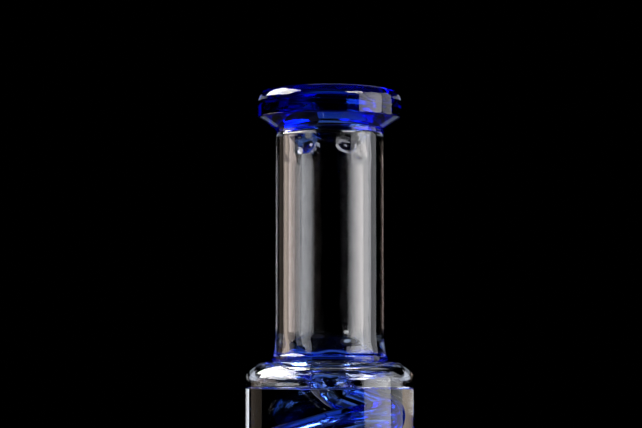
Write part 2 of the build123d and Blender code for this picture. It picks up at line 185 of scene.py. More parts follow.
def soft(corners, radii, steps=8):
    """Straight runs between corners, each inner corner rounded to its radius."""
    points = [corners[0]]
    for before, corner, after, radius in zip(corners, corners[1:], corners[2:], radii):
        corner = Vector(corner)
        back = Vector(before) - corner
        ahead = Vector(after) - corner
        turn = math.pi - back.angle(ahead)
        reach = min(radius * math.tan(turn / 2), 0.49 * back.length, 0.49 * ahead.length)
        start = corner + back.normalized() * reach
        end = corner + ahead.normalized() * reach
        points += curve(start, start.lerp(corner, 0.58), end.lerp(corner, 0.58), end, steps)
    points.append(corners[-1])
    return points


def placed(origin, along):
    """A frame whose Z runs along the turning axis of a piece that doesn't stand upright."""
    turn = Vector(along).to_track_quat("Z", "Y").to_matrix().to_4x4()
    return Matrix.Translation(Vector(origin)) @ turn


UPRIGHT = Matrix.Identity(4)
SLANT = placed(tip, stem_dir)
SPOUT = placed((0, 0, spout_z), (0, 1, 0))


def build(node, points, faces, marks, material, body, name=None):
    """Makes one piece from its vertices in millimetres. marks holds what each face meets.

    It replaces the CAD node, or node is only its name if the frame has no such node.
    """
    name = name or (f"{node}_glass" if node in slots else node)
    mesh = bpy.data.meshes.new(name)
    mesh.from_pydata([tuple(c * MM for c in p) for p in points], [], faces)
    joined = mesh.attributes.new("joined", "FLOAT", "FACE")
    joined.data.foreach_set("value", [float(mark == JOINED) for mark in marks])
    mesh.shade_smooth()
    mesh.set_sharp_from_angle(angle=math.radians(40))
    mesh.materials.append(material)
    if GROUND in marks:
        mesh.materials.append(ground_glass)
        mesh.polygons.foreach_set("material_index", [int(mark == GROUND) for mark in marks])
    piece = bpy.data.objects.new(name, mesh)
    bpy.context.scene.collection.objects.link(piece)
    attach(piece, body)
    if node in slots:
        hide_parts(node)
    return piece


def turned(node, strokes, material, body, wobble=None, steps=TURN_STEPS, place=UPRIGHT,
           fused_where=None, name=None):
    """A piece turned about an axis.

    Each stroke is what its faces meet, and the outline's points as radius and height.
    fused_where says of a point, in millimetres, whether an open face there is really fused.
    """
    outline = []
    marks = []
    for mark, points in strokes:
        for start, end in zip(points, points[1:]):
            length = math.dist(start, end)
            if length > 1e-6:
                stops = (0, 0.2 / length, 1 - 0.2 / length) if length > 0.8 else (0,)
                outline += [tuple(a + (b - a) * t for a, b in zip(start, end)) for t in stops]
                marks += [mark] * len(stops)
    count = len(outline)
    verts = []
    index = {}
    for i, (r, z) in enumerate(outline):
        for k in range(1 if r < 1e-6 else steps):
            a = 2 * math.pi * k / steps
            dr, dz = wobble(r, z, a) if wobble else (0.0, 0.0)
            index[i, k] = len(verts)
            verts.append(place @ Vector(((r + dr) * math.cos(a), (r + dr) * math.sin(a), z + dz)))
        if r < 1e-6:
            for k in range(1, steps):
                index[i, k] = index[i, 0]
    faces = []
    face_marks = []
    area = sum(a[0] * b[1] - b[0] * a[1] for a, b in zip(outline, outline[1:] + outline[:1]))
    for i in range(count):
        j = (i + 1) % count
        for k in range(steps):
            n = (k + 1) % steps
            corners = [index[i, k], index[i, n], index[j, n], index[j, k]]
            corners = [c for p, c in enumerate(corners) if c not in corners[:p]]
            if len(corners) > 2:
                faces.append(corners if area > 0 else corners[::-1])
                mark = marks[i]
                if fused_where and mark == OPEN:
                    middle = sum((verts[c] for c in corners), Vector()) / len(corners)
                    mark = JOINED if fused_where(middle) else OPEN
                face_marks.append(mark)
    return build(node, verts, faces, face_marks, material, body, name)


def slanted(node, strokes, material, body, fused_where=None):
    """A small piece turned about the slanted axis."""
    return turned(node, strokes, material, body, steps=SMALL_STEPS, place=SLANT,
                  fused_where=fused_where)


def cut(piece, tool):
    """Takes the tool's shape out of a piece; the cut faces keep the tool's marks."""
    modifier = piece.modifiers.new("cut", "BOOLEAN")
    modifier.operation = "DIFFERENCE"
    modifier.solver = "EXACT"
    modifier.object = tool
    view = bpy.context.evaluated_depsgraph_get()
    mesh = bpy.data.meshes.new_from_object(piece.evaluated_get(view))
    piece.modifiers.clear()
    piece.data = mesh
    bpy.data.objects.remove(tool)


def rod(name, radius, start, end, body, place):
    """A plain round rod, used to cut a hole whose wall is fused."""
    strokes = [(JOINED, [(0, start), (radius, start), (radius, end), (0, end)])]
    return turned(name, strokes, clear_glass, body, steps=SMALL_STEPS, place=place)


def wall(outer, inner, inner_mark=OPEN):
    """A wall between two outlines, fused to its neighbours at both ends."""
    return [(OPEN, outer), (JOINED, [outer[-1], inner[0]]), (inner_mark, inner),
            (JOINED, [inner[-1], outer[0]])]


# ---------------------------------------------------------------- materials


def node_tree(name):
    """A new material with its output and its object coordinates."""
    material = bpy.data.materials.new(name)
    material.use_nodes = True
    tree = material.node_tree
    tree.nodes.clear()
    output = tree.nodes.new("ShaderNodeOutputMaterial")
    place = tree.nodes.new("ShaderNodeTexCoord")
    return material, tree, output, place


def noise(tree, place, scale, detail=2.0, stretch=(1, 1, 1)):
    """Noise over the piece's own coordinates, in metres; scale is its waves a metre."""
    mapping = tree.nodes.new("ShaderNodeMapping")
    mapping.inputs["Scale"].default_value = stretch
    tree.links.new(place.outputs["Object"], mapping.inputs["Vector"])
    texture = tree.nodes.new("ShaderNodeTexNoise")
    texture.inputs["Scale"].default_value = scale
    texture.inputs["Detail"].default_value = detail
    tree.links.new(mapping.outputs["Vector"], texture.inputs["Vector"])
    return texture.outputs["Fac"]


def bump(tree, height, distance, normal=None):
    """A bump of the given depth in metres."""
    made = tree.nodes.new("ShaderNodeBump")
    made.inputs["Distance"].default_value = distance
    tree.links.new(height, made.inputs["Height"])
    if normal:
        tree.links.new(normal, made.inputs["Normal"])
    return made.outputs["Normal"]


def mix_colour(tree, factor, first, second):
    """Two colours mixed by a factor."""
    mix = tree.nodes.new("ShaderNodeMix")
    mix.data_type = "RGBA"
    tree.links.new(factor, mix.inputs["Factor"])
    mix.inputs["A"].default_value = (*first, 1)
    mix.inputs["B"].default_value = (*second, 1)
    return mix.outputs["Result"]


def between(tree, value, low, high, at_low, at_high):
    """A value's range mapped to another."""
    ramp = tree.nodes.new("ShaderNodeMapRange")
    for name, number in (("From Min", low), ("From Max", high), ("To Min", at_low),
                         ("To Max", at_high)):
        ramp.inputs[name].default_value = number
    tree.links.new(value, ramp.inputs["Value"])
    return ramp.outputs["Result"]


def attribute(tree, name):
    """A number that the faces carry."""
    made = tree.nodes.new("ShaderNodeAttribute")
    made.attribute_name = name
    return made.outputs["Fac"]


def wet_factor(tree, place):
    """1 on a bathed face under the liquid's level, else 0."""
    split = tree.nodes.new("ShaderNodeSeparateXYZ")
    tree.links.new(place.outputs["Object"], split.inputs["Vector"])
    under = tree.nodes.new("ShaderNodeMath")
    under.operation = "LESS_THAN"
    under.inputs[1].default_value = level_z * MM
    tree.links.new(split.outputs["Z"], under.inputs[0])
    wet = tree.nodes.new("ShaderNodeMath")
    wet.operation = "MULTIPLY"
    tree.links.new(under.outputs[0], wet.inputs[0])
    tree.links.new(attribute(tree, "bathed"), wet.inputs[1])
    return wet.outputs[0]


def glass(name, tint, deep, absorb=None, density=0.0, wave=0.00002):
    """Polished blown glass: faint drawn-out waves and specks, tinted through its thickness."""
    material, tree, output, place = node_tree(name)
    shader = tree.nodes.new("ShaderNodeBsdfPrincipled")
    shader.inputs["Transmission Weight"].default_value = 1.0
    shader.inputs["IOR"].default_value = GLASS_IOR
    wet_ior = between(tree, wet_factor(tree, place), 0, 1, GLASS_IOR, WET_IOR)
    tree.links.new(wet_ior, shader.inputs["IOR"])
    streaks = noise(tree, place, 60, 3, (1, 1, 0.12))
    tree.links.new(mix_colour(tree, streaks, deep, tint), shader.inputs["Base Color"])
    specks = between(tree, noise(tree, place, 900), 0.72, 0.85, 0.0, 0.25)
    tree.links.new(specks, shader.inputs["Roughness"])
    tree.links.new(bump(tree, streaks, wave), shader.inputs["Normal"])
    clear = tree.nodes.new("ShaderNodeBsdfTransparent")
    mix = tree.nodes.new("ShaderNodeMixShader")
    tree.links.new(attribute(tree, "joined"), mix.inputs["Fac"])
    tree.links.new(shader.outputs[0], mix.inputs[1])
    tree.links.new(clear.outputs[0], mix.inputs[2])
    tree.links.new(mix.outputs[0], output.inputs["Surface"])
    if absorb:
        depth = tree.nodes.new("ShaderNodeVolumeAbsorption")
        depth.inputs["Color"].default_value = (*absorb, 1)
        depth.inputs["Density"].default_value = density
        tree.links.new(depth.outputs[0], output.inputs["Volume"])
    return material


def ground():
    """Ground glass: a fine sandy surface that scatters, in faint patches."""
    material, tree, output, place = node_tree("ground_glass")
    shader = tree.nodes.new("ShaderNodeBsdfPrincipled")
    shader.inputs["Transmission Weight"].default_value = 0.72
    shader.inputs["IOR"].default_value = GLASS_IOR
    grit = noise(tree, place, 4200, 3)
    patches = noise(tree, place, 140, 3)
    tree.links.new(mix_colour(tree, patches, (0.78, 0.82, 0.84), (0.93, 0.95, 0.96)),
                   shader.inputs["Base Color"])
    tree.links.new(between(tree, patches, 0.3, 0.7, 0.42, 0.58), shader.inputs["Roughness"])
    tree.links.new(bump(tree, grit, 0.00006), shader.inputs["Normal"])
    tree.links.new(shader.outputs[0], output.inputs["Surface"])
    return material


def silicone():
    """Milky moulded silicone: soft sheen, faint mould marks and dust."""
    material, tree, output, place = node_tree("silicone")
    shader = tree.nodes.new("ShaderNodeBsdfPrincipled")
    shader.inputs["Transmission Weight"].default_value = 0.35
    shader.inputs["IOR"].default_value = 1.41
    clouds = noise(tree, place, 220, 3)
    tree.links.new(mix_colour(tree, clouds, (0.7, 0.76, 0.82), (0.86, 0.9, 0.93)),
                   shader.inputs["Base Color"])
    tree.links.new(between(tree, noise(tree, place, 700, 3), 0.3, 0.7, 0.38, 0.55),
                   shader.inputs["Roughness"])
    tree.links.new(bump(tree, clouds, 0.00005), shader.inputs["Normal"])
    tree.links.new(shader.outputs[0], output.inputs["Surface"])
    return material


clear_glass = glass("clear_glass", (0.985, 0.99, 0.995), (0.96, 0.97, 0.98))
blue_glass = glass("cobalt_glass", (0.97, 0.98, 1.0), (0.9, 0.93, 1.0),
                   absorb=(0.12, 0.46, 0.94), density=520.0)
liquid = glass("glycerin", (0.99, 0.99, 0.99), (0.97, 0.98, 0.98), wave=0.000004)
ground_glass = ground()
milky = silicone()

# ---------------------------------------------------------------- the lip and the neck


# bearing, height, depth, and how far each dimple near the neck's welds reaches round and up
DIMPLES = [(-66, 372.6, -1.3, 14, 2.6), (-50, 368.0, -0.5, 9, 1.8), (-118, 373.0, -0.6, 9, 3.5),
           (-126, 367.5, 0.5, 8, 2.2), (-70, 303.5, 0.5, 12, 2.0), (-105, 302.5, -0.5, 14, 1.8)]


def flame_waves(r, z, a):
    """The slight unevenness that the flame leaves near each weld of the neck."""
    near_top = math.exp(-(((z - neck_top_z + 5) / 6.0) ** 2))
    near_foot = math.exp(-(((z - neck_low_z) / 5.0) ** 2))
    inside = 1.0 if r < (neck_r + neck_bore_r) / 2 else 0.12
    wave = 0.1 * math.sin(3 * a + 0.8) + 0.07 * math.sin(7 * a + 2.1 + 0.45 * z)
    wave *= 0.5 * near_top + near_foot
    for bearing, height, depth, wide, high in DIMPLES:
        off = (math.degrees(a) - bearing + 180) % 360 - 180
        wave += depth * math.exp(-((off / wide) ** 2) - ((z - height) / high) ** 2)
    return inside * wave, 0.0


def lip_waves(r, z, a):
    """The lip is built up in rings, which its bore and its side still show a little."""
    inside = 1.0 if r < (lip_r + neck_bore_r) / 2 else 0.02
    wave = 0.16 * math.sin(1.5 * (z - mouth_z) + 1.4 * math.sin(a + 0.5))
    wave += 0.1 * math.sin(4 * a + 0.3 * z)
    fade = min(1.0, max(0.0, (z - neck_top_z) / 3)) * min(1.0, (mouth_z - z) / 3)
    return flame_waves(r, z, a)[0] + inside * fade * wave, 0.0


def make_lip():
    side_top = mouth_z - lip_round
    roll_z = mouth_z - 2 * lip_round
    ring_r = lip_r - lip_round
    outline = soft([(neck_r, neck_top_z), (neck_r, lip_corner_z - lip_slope),
                    (lip_r, lip_corner_z), (lip_r, side_top)], (1.5, 0.6))
    outline += arc(ring_r, side_top, lip_round, 0, 90)
    outline += arc(ring_r, roll_z, ring_r - neck_bore_r, 90, 180, rz=mouth_z - roll_z, steps=20)
    outline += line((neck_bore_r, roll_z), (neck_bore_r, neck_top_z), 24)
    strokes = [(OPEN, outline), (JOINED, [(neck_bore_r, neck_top_z), (neck_r, neck_top_z)])]
    turned("mouth_lip", strokes, blue_glass, "chamber", lip_waves)


def make_neck():
    seam = 0.25
    top, low = neck_top_z, neck_low_z
    outer = curve((neck_foot_r, low), (neck_foot_r - 0.25, low + 3), (neck_r, low + 5),
                  (neck_r, low + 9))
    outer += line((neck_r, low + 9), (neck_r, top - 14), 30)
    outer += line((neck_r, top - 14), (neck_r, top - 1), 24)
    outer += [(neck_r - seam, top - 0.4), (neck_r, top)]
    inner = line((neck_bore_r, top), (neck_bore_r, top - 16), 32)
    inner += line((neck_bore_r, top - 16), (neck_bore_r, low + 12), 20)
    inner += line((neck_bore_r, low + 12), (neck_bore_r, low), 20)
    turned("neck_tube", wall(outer, inner), clear_glass, "chamber", flame_waves,
           name="neck_glass")


def make_foot_ring():
    outer = curve((foot_ring_r - 0.3, shoulder_z), (foot_ring_r + 0.1, shoulder_z + 1.0),
                  (foot_ring_r, shoulder_z + 2.0), (neck_foot_r, neck_low_z))
    inner = line((neck_bore_r, neck_low_z), (neck_bore_r, shoulder_z), 8)
    strokes = wall(outer, inner)
    strokes[-1] = (JOINED, line(inner[-1], outer[0], 4))
    turned("neck_foot_ring", strokes, blue_glass, "chamber", flame_waves)


# ---------------------------------------------------------------- the jacket


def shoulder_strokes(dry):
    """The shoulder's outline, from the weld round its outside and back inside.

    Its inner side meets air above the liquid, and the floor's meets only liquid.
    """
    inner = OPEN if dry else JOINED
    corner = jacket_r - shoulder_round
    inner_round = shoulder_round - (jacket_r - jacket_bore_r)
    inner_top = shoulder_z - shoulder_wall
    return [
        (JOINED, line((funnel_r, shoulder_z), (foot_ring_r - 0.3, shoulder_z), 4)),
        (OPEN, line((foot_ring_r - 0.3, shoulder_z), (corner, shoulder_z - 0.25), 6)),
        (OPEN, arc(corner, shoulder_z - shoulder_round, shoulder_round, 90, 0,
                   rz=shoulder_round - 0.25, steps=24)),
        (OPEN, line((jacket_r, shoulder_z - shoulder_round), (jacket_r, skirt_z), 6)),
        (JOINED, line((jacket_r, skirt_z), (jacket_bore_r, skirt_z))),
        (JOINED, line((jacket_bore_r, skirt_z), (jacket_bore_r, liquid_z), 6)),
        (inner, line((jacket_bore_r, liquid_z), (jacket_bore_r, inner_top - inner_round))),
        (inner, arc(corner, inner_top - inner_round, inner_round, 0, 90, steps=16)),
        (inner, curve((corner, inner_top), (corner - 3, inner_top), (funnel_r + 1.2, inner_top),
                      (funnel_r, shoulder_z - weld_depth), 12)),
        (JOINED, line((funnel_r, shoulder_z - weld_depth), (funnel_r, shoulder_z), 4)),
    ]


def shoulder_waves(r, z, a):
    """The folds that the flame leaves round the weld, on the inner side of the shoulder."""
    if r > 24.5 or z > shoulder_z - 1.5:
        return 0.0, 0.0
    near = math.exp(-(((r - 18.5) / 3.0) ** 2)) * min(1.0, (r - funnel_r) / 1.5)
    folds = 0.3 * math.sin(13 * a + 0.6) + 0.22 * math.sin(29 * a + 1.9) + 0.2 * math.sin(5 * a)
    return 0.0, near * folds


def turned_over(strokes):
    """The same outline upside down about the chamber's middle."""
    return [(mark, [(r, 2 * middle_z - z) for r, z in points]) for mark, points in strokes]


def make_jacket():
    turned("jacket_shoulder", shoulder_strokes(True), clear_glass, "chamber", shoulder_waves)
    turned("jacket_floor", turned_over(shoulder_strokes(False)), clear_glass, "chamber")
    outer = line((jacket_r, skirt_z), (jacket_r, low_skirt_z), 30)
    inner = line((jacket_bore_r, low_skirt_z), (jacket_bore_r, skirt_z), 10)
    tube = turned("jacket_tube", wall(outer, inner, JOINED), clear_glass, "chamber",
                  name="jacket_glass")
    cut(tube, rod("spout_hole", spout_r, jacket_bore_r / 2, jacket_r + 2, "chamber", SPOUT))


def make_spout():
    """The filling spout: welded into the jacket's wall, with a fire-polished rim."""
    fillet = 1.6
    liquid_low, liquid_end = jacket_bore_r - 1, spout_end - plug_depth - 0.1

    def in_wall(point):
        return math.hypot(point.x, point.y) < jacket_r

    outline = line((spout_r, jacket_bore_r), (spout_r, jacket_r - 0.6), 4)
    outline += curve((spout_r, jacket_r - 0.6), (spout_r + fillet, jacket_r + 0.1),
                     (spout_r, jacket_r + 0.6), (spout_r, jacket_r + 0.6 + fillet), 10)
    outline += line((spout_r, jacket_r + 0.6 + fillet), (spout_r, spout_end - 0.8), 4)
    outline += arc(spout_r - 0.8, spout_end - 0.8, 0.8, 0, 90, steps=6)
    bore = arc(spout_bore_r + 0.5, spout_end - 0.5, 0.5, 90, 180, steps=5)
    strokes = [
        (JOINED, line((spout_bore_r, jacket_bore_r), (spout_r, jacket_bore_r), 2)),
        (OPEN, outline),
        (OPEN, bore + [(spout_bore_r, spout_end - plug_depth)]),
        (JOINED, line((spout_bore_r, spout_end - plug_depth), (spout_bore_r, jacket_bore_r), 4)),
    ]
    turned("fill_spout", strokes, clear_glass, "chamber", steps=SMALL_STEPS, place=SPOUT,
           fused_where=in_wall)
    strokes = [
        (JOINED, [(0, liquid_low), (spout_bore_r, liquid_low), (spout_bore_r, liquid_end)]),
        (OPEN, [(spout_bore_r, liquid_end), (0, liquid_end)]),
    ]
    fill = turned("spout_glycerin", strokes, liquid, "chamber", steps=SMALL_STEPS, place=SPOUT)


def make_plug():
    """The silicone stopper: a ribbed stem and a rounded head with a dimple."""
    stem = spout_bore_r - 0.05
    low = spout_end - plug_depth
    head_low = spout_end + 0.05
    outline = [(0, low + 0.5), (stem - 1.0, low + 0.3), (stem - 0.4, low + 0.9)]
    for rib in range(3):
        outline += arc(stem - 0.35, low + 2.1 + 1.9 * rib, 0.35, -90, 90, rz=0.7, steps=8)
    outline += [(stem, head_low - 0.4), (stem, head_low)]
    outline += soft([(stem, head_low), (plug_r, head_low), (plug_r, plug_end - 0.2),
                     (3.6, plug_end), (2.2, plug_end - 0.5), (0, plug_end - 0.7)],
                    (0.5, 1.4, 1.0, 1.0))
    outline.append((0, low + 0.5))
    turned("fill_plug", [(OPEN, outline)], milky, "plug", steps=SMALL_STEPS, place=SPOUT,
           name="fill_plug_silicone")


# ---------------------------------------------------------------- the coil


def coil_path():
    """The middle line of the coil from the funnel's end down to the lower funnel's, in mm."""
    rise = coil_pitch / (2 * math.pi * coil_r)
    along = np.array((1, 0, rise)) / math.hypot(1, rise)
    start = np.array((funnel_end[0], 0, funnel_end[1]))
    tilt = np.array((math.sin(funnel_tilt), 0, -math.cos(funnel_tilt)))
    front = np.array((0, -coil_r, coil_front_z))
    lead_in = curve(tuple(start), tuple(start + lead_start_reach * tilt),
                    tuple(front + along * lead_front_reach), tuple(front), 48)
    turn = 2 * math.pi * coil_turns
    steps = 96 * coil_turns
    helix = []
    for i in range(1, steps):
        a = turn * i / steps
        helix.append((-coil_r * math.sin(a), -coil_r * math.cos(a),
                      coil_front_z - coil_pitch * a / (2 * math.pi)))
    lead_out = [(-x, y, 2 * middle_z - z) for x, y, z in reversed(lead_in)]
    return np.array(lead_in + helix + lead_out)


def frames_along(path, first_side):
    """A side and an up direction at each point of a path, turning as little as possible."""
    along = np.gradient(path, axis=0)
    along /= np.linalg.norm(along, axis=1)[:, None]
    side = np.array(first_side, float)
    sides = []
    for t in along:
        side = side - t * (side @ t)
        side /= np.linalg.norm(side)
        sides.append(side.copy())
    return np.array(sides), np.cross(along, np.array(sides))


def rings_of(centres, sides, ups, radii, count):
    """Rings of points round a path."""
    a = 2 * np.pi * np.arange(count) / count
    across = np.cos(a)[None, :, None] * sides[:, None, :]
    upwards = np.sin(a)[None, :, None] * ups[:, None, :]
    return centres[:, None, :] + (across + upwards) * np.asarray(radii)[:, None, None]


def skin_faces(rows, count, base=0, flip=False, closed=False):
    """Quads between neighbouring rings; a closed skin joins the last ring to the first."""
    faces = []
    for i in range(rows if closed else rows - 1):
        j = (i + 1) % rows
        for k in range(count):
            n = (k + 1) % count
            quad = [base + i * count + k, base + i * count + n,
                    base + j * count + n, base + j * count + k]
            faces.append(quad[::-1] if flip else quad)
    return faces


def tube_piece(node, outer, inner, name=None):
    """A blue tube that lies in the liquid, from its outer and inner rings, with fused ends."""
    rows, count = outer.shape[:2]
    points = [tuple(p) for p in np.concatenate([outer, inner]).reshape(-1, 3)]
    base = rows * count
    faces = skin_faces(rows, count) + skin_faces(rows, count, base, True)
    marks = [OPEN] * len(faces)
    for row, flip in ((0, True), (rows - 1, False)):
        for k in range(count):
            n = (k + 1) % count
            ring = row * count
            quad = [ring + k, ring + n, base + ring + n, base + ring + k]
            faces.append(quad[::-1] if flip else quad)
            marks.append(JOINED)
    piece = build(node, points, faces, marks, blue_glass, "chamber", name)
    wet = piece.data.attributes.new("bathed", "FLOAT", "FACE")
    outer_faces = (rows - 1) * count
    wet.data.foreach_set("value", [1.0] * outer_faces + [0.0] * (len(faces) - outer_faces))


COIL_SIDES = 72


def coil_frames():
    """The coil's middle line, with a side and an up direction at each of its points."""
    path = coil_path()
    return path, *frames_along(path, (math.cos(funnel_tilt), 0, math.sin(funnel_tilt)))


def funnel_rings(inside):
    """The funnel's rings: a flare under the neck's floor that bends over into the coil's end."""
    centres = []
    radii = []
    column = 4 if inside else 3
    for upper, lower in zip(funnel_bend, funnel_bend[1:]):
        ends = []
        for x, z, tilt, *_ in (upper, lower):
            a = math.radians(tilt)
            ends.append((np.array((x, 0, z)), np.array((math.sin(a), 0, -math.cos(a)))))
        (first, down), (last, on) = ends
        reach = np.linalg.norm(last - first) / 3
        steps = curve(tuple(first), tuple(first + down * reach), tuple(last - on * reach),
                      tuple(last), 14)
        flare = upper is funnel_bend[0]
        power = 2.2 if flare else 1.4
        for i in range(0 if flare else 1, 15):
            share = (1 - i / 14) ** power
            centres.append(steps[i])
            radii.append(lower[column] + (upper[column] - lower[column]) * share)
    centres = np.array(centres)
    sides, ups = frames_along(centres, (1, 0, 0))
    return rings_of(centres, sides, ups, radii, COIL_SIDES)


def over(rings):
    """Rings after half a turn about the chamber's middle, from the coil's end down."""
    return rings[::-1, ::-1] * (-1, 1, -1) + (0, 0, 2 * middle_z)


def make_coil():
    outer = funnel_rings(False)
    inner = funnel_rings(True)
    tube_piece("coil_funnel", outer, inner)
    tube_piece("coil_outlet", over(outer), over(inner))
    path, sides, ups = coil_frames()
    place = np.arange(len(path))
    wave = 0.12 * np.sin(place * 0.11) + 0.08 * np.sin(place * 0.31)
    wave *= np.clip(np.minimum(place, place[::-1]) / 20, 0, 1)
    outer, inner = (rings_of(path, sides, ups, radius + wave, COIL_SIDES)
                    for radius in (coil_tube_r, coil_bore_r))
    tube_piece("coil_tube", outer, inner, "coil_glass")


def make_glycerin():
    """The liquid: it fills the jacket to its level, less the coil."""
    floor_top = floor_z + shoulder_wall
    corner = jacket_r - shoulder_round
    inner_round = shoulder_round - (jacket_r - jacket_bore_r)
    strokes = [
        (JOINED, line((0, floor_top), (corner, floor_top), 8)),
        (JOINED, arc(corner, floor_top + inner_round, inner_round, -90, 0)),
        (JOINED, line((jacket_bore_r, floor_top + inner_round), (jacket_bore_r, liquid_z), 20)),
        (OPEN, curve((jacket_bore_r, liquid_z), (jacket_bore_r - 0.3, level_z + 0.25),
                     (jacket_bore_r - 1.2, level_z), (jacket_bore_r - 3, level_z), 10)),
        (OPEN, line((jacket_bore_r - 3, level_z), (0, level_z), 30)),
    ]
    fill = turned("glycerin_fill", strokes, liquid, "chamber", name="glycerin")
    top = funnel_rings(False)
    path, sides, ups = coil_frames()
    turns = rings_of(path, sides, ups, [coil_tube_r] * len(path), COIL_SIDES)
    low = over(top)
    shift = np.argmin(np.linalg.norm(low[0] - turns[-1][0], axis=1))
    rings = np.concatenate([top[:-1], turns[:-1], np.roll(low, -shift, axis=1)])
    rows = len(rings)
    points = [tuple(p) for p in rings.reshape(-1, 3)]
    faces = skin_faces(rows, COIL_SIDES)
    faces.append(list(range(COIL_SIDES))[::-1])
    faces.append([(rows - 1) * COIL_SIDES + k for k in range(COIL_SIDES)])
    cut(fill, build("coil_cutter", points, faces, [JOINED] * len(faces), liquid, "chamber"))


# ---------------------------------------------------------------- under the chamber


def male_strokes(large, small, low, mouth, top, wall):
    """A ground male cone with a plain collar above it, fused at both ends."""
    return [
        (JOINED, line((small - wall, low), (small, low))),
        (GROUND, line((small, low), (large, mouth), 12)),
        (OPEN, line((large, mouth), (large, top))),
        (JOINED, line((large, top), (large - wall, top))),
        (OPEN, [(large - wall, top), (large - wall, mouth), (small - wall, low)]),
    ]


def rim_strokes(outer, bore_low, bore_high, wall_r, low, high):
    """A round bead at a socket's mouth, fused to the socket under it."""
    middle = (low + high) / 2
    side = outer - (high - low) / 2
    return [
        (JOINED, line((bore_low, low), (wall_r, low))),
        (OPEN, [(wall_r, low)] + arc(side, middle, outer - side, -90, 90, steps=20)),
        (OPEN, soft([(side, high), (bore_high, high), (bore_low, low)], (0.8,))),
    ]


def make_lower_chamber():
    collar_r = large_29
    bore = large_29 - joint_wall
    outer = curve((neck_r, ring_low_z), (foot_ring_r - 0.2, ring_low_z + 0.4),
                  (foot_ring_r, ring_low_z + 1.6), (foot_ring_r - 0.3, floor_z))
    inner = [(neck_bore_r, floor_z), (neck_bore_r, ring_low_z)]
    turned("lower_neck_ring", wall(outer, inner), blue_glass, "chamber")
    pull = (ring_low_z - collar_z) / 2.4
    outer = curve((neck_r, ring_low_z), (neck_r, ring_low_z - pull), (collar_r, collar_z + pull),
                  (collar_r, collar_z), 24)
    inner = curve((bore, collar_z), (bore, collar_z + pull), (neck_bore_r, ring_low_z - pull),
                  (neck_bore_r, ring_low_z), 24)
    turned("lower_neck", wall(outer, inner), clear_glass, "chamber")
    strokes = male_strokes(large_29, small_29, socket_29_z, mouth_29_z, collar_z, joint_wall)
    turned("chamber_joint", strokes, clear_glass, "chamber")
    low = span("drip_tip")[1]
    inside, outside = small_29 - joint_wall, small_29 - 0.5
    strokes = [
        (OPEN, soft([(inside, socket_29_z), (drip_bore_r, low), (drip_r, low),
                     (outside, socket_29_z)], (0.7, 0.9))),
        (JOINED, [(outside, socket_29_z), (inside, socket_29_z)]),
    ]
    turned("drip_tip", strokes, clear_glass, "chamber")


# ---------------------------------------------------------------- the base


def cone_radius(z):
    """The outer radius of the base's cone at a height."""
    share = (z - cone_low[1]) / (cone_high[1] - cone_low[1])
    return cone_low[0] + share * (cone_high[0] - cone_low[0])


def in_cone_wall(point):
    """Whether a point lies inside the thickness of the base's wall."""
    return cone_radius(point.z) - base_wall < math.hypot(point.x, point.y) < cone_radius(point.z)


def cone_outline(inset):
    """The base's wall from the foot up to its neck, moved inwards."""
    corners = [(base_r, foot_z), cone_low, cone_high, (base_neck_r, base_neck_z)]
    return soft([(r - inset, z) for r, z in corners], (12, 30))


def blown_waves(r, z, a):
    """The slow unevenness of a large blown wall, strongest on its inner side."""
    share = min(1.0, max(0.0, (z - foot_z) / 15)) * min(1.0, max(0.0, (base_neck_z - z) / 15))
    inner = 1.0 if r < cone_radius(z) - base_wall / 2 else 0.3
    wave = 0.14 * math.sin(2 * a + 0.05 * z) + 0.1 * math.sin(5 * a + 0.11 * z)
    return inner * share * wave, 0.0


def make_foot():
    inner = base_r - base_wall
    strokes = [
        (OPEN, curve((0, 0.9), (30, 0.9), (40, 0.7), (base_r - 9, 0))),
        (OPEN, soft([(base_r - 9, 0), (base_r - 7, 0), (base_r - 2.05, 2.05), (base_r, foot_z)],
                    (14, 14), 12)),
        (JOINED, line((base_r, foot_z), (inner, foot_z))),
        (OPEN, curve((inner, foot_z), (inner - 0.6, foot_z - 0.8), (inner - 2, foot_z - 1),
                     (inner - 4, foot_z - 1), 10)),
        (OPEN, curve((inner - 4, foot_z - 1), (inner - 16, foot_z - 1), (16, foot_z - 0.6),
                     (0, foot_z - 0.6), 16)),
    ]
    turned("base_foot", strokes, clear_glass, "base")


def make_beaker():
    def share(length):
        return 16 if length > 20 else 1

    outer = divided(cone_outline(0), share)
    inner = divided(cone_outline(base_wall), share)[::-1]
    beaker = turned("base_beaker", wall(outer, inner), clear_glass, "base", blown_waves)
    cut(beaker, rod("port_hole", port_r, 40, 110, "base", SLANT))


def make_base_neck():
    socket_r = small_29 + gap
    socket_out_r = socket_r + socket_wall
    rim_z = mouth_29_z - rim_h
    taper = (large_29 - small_29) / (mouth_29_z - socket_29_z)
    rim_bore = large_29 + gap - taper * rim_h
    rim_out_r = rim_bore + socket_wall
    low = socket_29_z
    outer = curve((base_neck_r, base_neck_z), (18.9, base_neck_z + 6), (socket_out_r, low - 7),
                  (socket_out_r, low))
    inner = curve((socket_r, low), (socket_r, low - 3), (15.6, low - 4),
                  (base_neck_bore_r, base_neck_z))
    turned("base_neck", wall(outer, inner), clear_glass, "base")
    outer = line((socket_out_r, low), (rim_out_r, rim_z), 8)
    inner = line((rim_bore, rim_z), (socket_r, low), 12)
    turned("base_socket", wall(outer, inner, GROUND), clear_glass, "base")
    rim = rim_strokes(span("socket_rim")[0], rim_bore, large_29 + gap, rim_out_r, rim_z,
                      mouth_29_z)
    turned("socket_rim", rim, blue_glass, "base")


